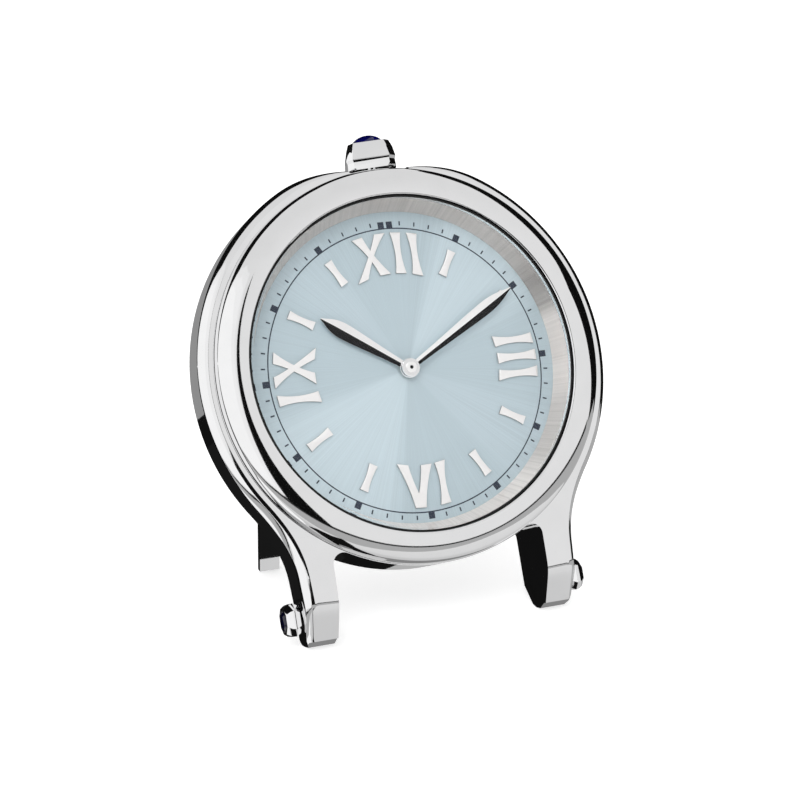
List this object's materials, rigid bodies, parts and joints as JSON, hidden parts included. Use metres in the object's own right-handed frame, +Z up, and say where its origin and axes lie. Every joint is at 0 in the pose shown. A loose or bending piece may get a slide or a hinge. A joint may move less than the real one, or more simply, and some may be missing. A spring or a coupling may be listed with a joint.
{
  "type": "table clock",
  "caption": "Round polished steel table clock with a pale blue dial, roman numerals and leaf hands, leaning back on two legs and a folding rear stand; a crown at twelve sets it.",
  "frame": {"origin": "middle of the bounding box's base, on the surface the clock stands on", "axes": "+Z up, the dial looks towards -Y and leans back, +X to the right of a viewer in front of the dial"},
  "size_m": [0.08, 0.0476, 0.0861],
  "materials": {
    "polished_steel": "mirror-polished steel",
    "satin_steel": "finely brushed steel",
    "clear_crystal": "clear flat crystal",
    "dark_gasket": "black sealing ring",
    "ice_blue_dial": "sun-brushed pale blue lacquer",
    "blue_stone": "polished dark blue stone",
    "brass": "plain brass",
    "black_plastic": "moulded black plastic",
    "copper_winding": "lacquered copper wire",
    "green_board": "green circuit board"
  },
  "bodies": {
    "case": {"case_frame": "polished_steel", "bezel": "polished_steel", "crown_tube": "polished_steel", "knob_setting_left": "polished_steel", "knob_setting_right": "polished_steel", "hinge_bracket_left": "polished_steel", "hinge_bracket_right": "polished_steel", "numeral_12_x": "polished_steel", "numeral_12_i_1": "polished_steel", "numeral_12_i_2": "polished_steel", "numeral_3_i_1": "polished_steel", "numeral_3_i_2": "polished_steel", "numeral_3_i_3": "polished_steel", "numeral_6_v": "polished_steel", "numeral_6_i": "polished_steel", "numeral_9_i": "polished_steel", "numeral_9_x": "polished_steel", "baton_1": "polished_steel", "baton_2": "polished_steel", "baton_4": "polished_steel", "baton_5": "polished_steel", "baton_7": "polished_steel", "baton_8": "polished_steel", "baton_10": "polished_steel", "baton_11": "polished_steel", "rehaut_ring": "satin_steel", "case_back": "satin_steel", "hinge_pin": "satin_steel", "battery": "satin_steel", "battery_clip": "satin_steel", "back_screw_1": "satin_steel", "back_screw_2": "satin_steel", "back_screw_3": "satin_steel", "back_screw_4": "satin_steel", "bracket_screw_left_1": "satin_steel", "bracket_screw_left_2": "satin_steel", "bracket_screw_right_1": "satin_steel", "bracket_screw_right_2": "satin_steel", "crystal": "clear_crystal", "crystal_gasket": "dark_gasket", "dial": "ice_blue_dial", "knob_cabochon_left": "blue_stone", "knob_cabochon_right": "blue_stone", "main_plate": "brass", "movement_ring": "black_plastic", "motor_module": "black_plastic", "back_gasket": "black_plastic", "coil": "copper_winding", "circuit_board": "green_board"},
    "minute_train": {"minute_hand": "polished_steel", "minute_arbor": "brass"},
    "hour_train": {"hour_hand": "polished_steel", "hour_wheel": "brass"},
    "motion_wheel": {"minute_wheel": "brass"},
    "stem_slide": {"stem_clip": "satin_steel"},
    "crown_spin": {"crown": "polished_steel", "crown_cabochon": "blue_stone", "crown_stem": "satin_steel"},
    "stand": {"stand_frame": "polished_steel"}
  },
  "joints": [
    {"name": "minute_spin", "type": "hinge", "parent": "case", "child": "minute_train", "pos_m": [0, -0.00376, 0.04582], "axis": [0, 0.8957, -0.4446], "continuous": true},
    {"name": "hour_spin", "type": "hinge", "parent": "case", "child": "hour_train", "pos_m": [0, -0.00376, 0.04582], "axis": [0, 0.8957, -0.4446], "continuous": true},
    {"name": "motion_wheel_spin", "type": "hinge", "parent": "case", "child": "motion_wheel", "pos_m": [-0.00083, -0.00586, 0.04158], "axis": [0, 0.8957, -0.4446], "continuous": true},
    {"name": "crown_pull", "type": "slide", "parent": "case", "child": "stem_slide", "axis": [0, 0.4446, 0.8957], "range_m": [0, 0.0012]},
    {"name": "crown_turn", "type": "hinge", "parent": "stem_slide", "child": "crown_spin", "pos_m": [0, 0.01547, 0.07915], "axis": [0, 0.4446, 0.8957], "continuous": true},
    {"name": "stand_fold", "type": "hinge", "parent": "case", "child": "stand", "pos_m": [0, 0.01349, 0.04546], "axis": [-1, 0, 0], "range_deg": [0, 31]}
  ],
  "couplings": [
    {"joint": "hour_spin", "follows": "minute_spin", "ratio": 0.083333},
    {"joint": "motion_wheel_spin", "follows": "minute_spin", "ratio": -0.33333}
  ]
}
